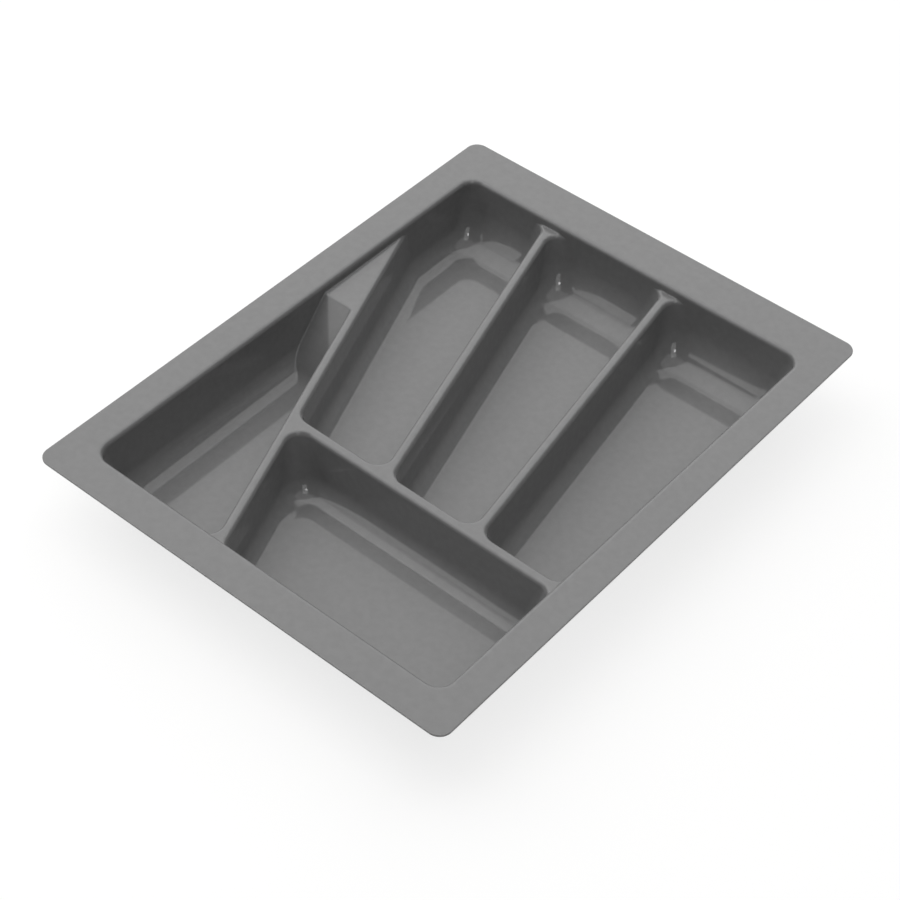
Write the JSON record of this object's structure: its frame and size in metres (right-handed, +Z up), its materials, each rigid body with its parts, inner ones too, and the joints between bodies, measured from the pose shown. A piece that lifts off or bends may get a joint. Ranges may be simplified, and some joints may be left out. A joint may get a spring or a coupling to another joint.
{
  "type": "cutlery tray",
  "caption": "Formed plastic drawer insert for cutlery: a flat rim round a well of tapered compartments with slanted dividers, a corner ledge and a ramp.",
  "frame": {"origin": "under the middle of the tray, on the surface that its floors rest on", "axes": "+Y to the back, where the rim is widest and the tray is longest; +Z up, out of the compartments; +X to the right"},
  "size_m": [0.33, 0.43, 0.0485],
  "materials": {
    "tray_plastic": "satin gloss, mid grey"
  },
  "bodies": {
    "root": {"rim_flange": "tray_plastic", "wedge_compartment": "tray_plastic", "left_compartment": "tray_plastic", "middle_compartment": "tray_plastic", "right_compartment": "tray_plastic", "front_compartment": "tray_plastic", "cross_divider_top": "tray_plastic", "left_divider_top": "tray_plastic", "right_divider_top": "tray_plastic", "diagonal_divider_top": "tray_plastic", "corner_ledge": "tray_plastic"}
  },
  "joints": []
}
